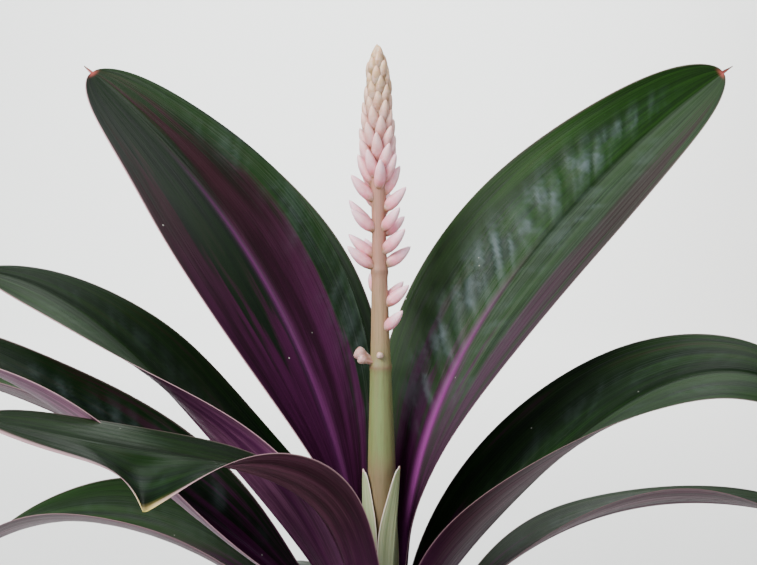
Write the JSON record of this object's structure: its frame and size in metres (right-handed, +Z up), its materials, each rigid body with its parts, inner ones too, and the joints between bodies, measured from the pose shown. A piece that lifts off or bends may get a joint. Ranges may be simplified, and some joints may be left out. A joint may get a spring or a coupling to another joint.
{
  "type": "potted stromanthe",
  "caption": "Potted foliage plant with arching lance leaves, a short stem and an upright spike of small pink buds.",
  "frame": {"origin": "centre of the pot's flat bottom, which is the plane it stands on", "axes": "+Z up along the pot's axis, -Y towards the side that the picture looks at, +X to the picture's right"},
  "size_m": [0.4533, 0.4208, 0.4191],
  "materials": {
    "clay": "matte",
    "earth": "matte",
    "bark": "matte",
    "foliage": "satin",
    "pale_green": "satin",
    "blossom": "satin"
  },
  "bodies": {
    "root": {"pot": "clay", "soil": "earth", "stem": "bark", "leaf_right_tall": "foliage", "leaf_left_tall": "foliage", "leaf_left_torn": "foliage", "leaf_left_upper": "foliage", "leaf_right_upper": "foliage", "leaf_left_middle": "foliage", "leaf_left_far": "foliage", "leaf_left_low": "foliage", "leaf_right_low": "foliage", "leaf_back_tall": "foliage", "leaf_back_middle": "foliage", "leaf_back_right": "foliage", "leaf_front_right": "foliage", "leaf_front_left": "foliage", "leaf_right_front": "foliage", "leaf_back_left": "foliage", "sheath_right": "pale_green", "sheath_left": "pale_green", "flower_spike": "blossom"}
  },
  "joints": []
}
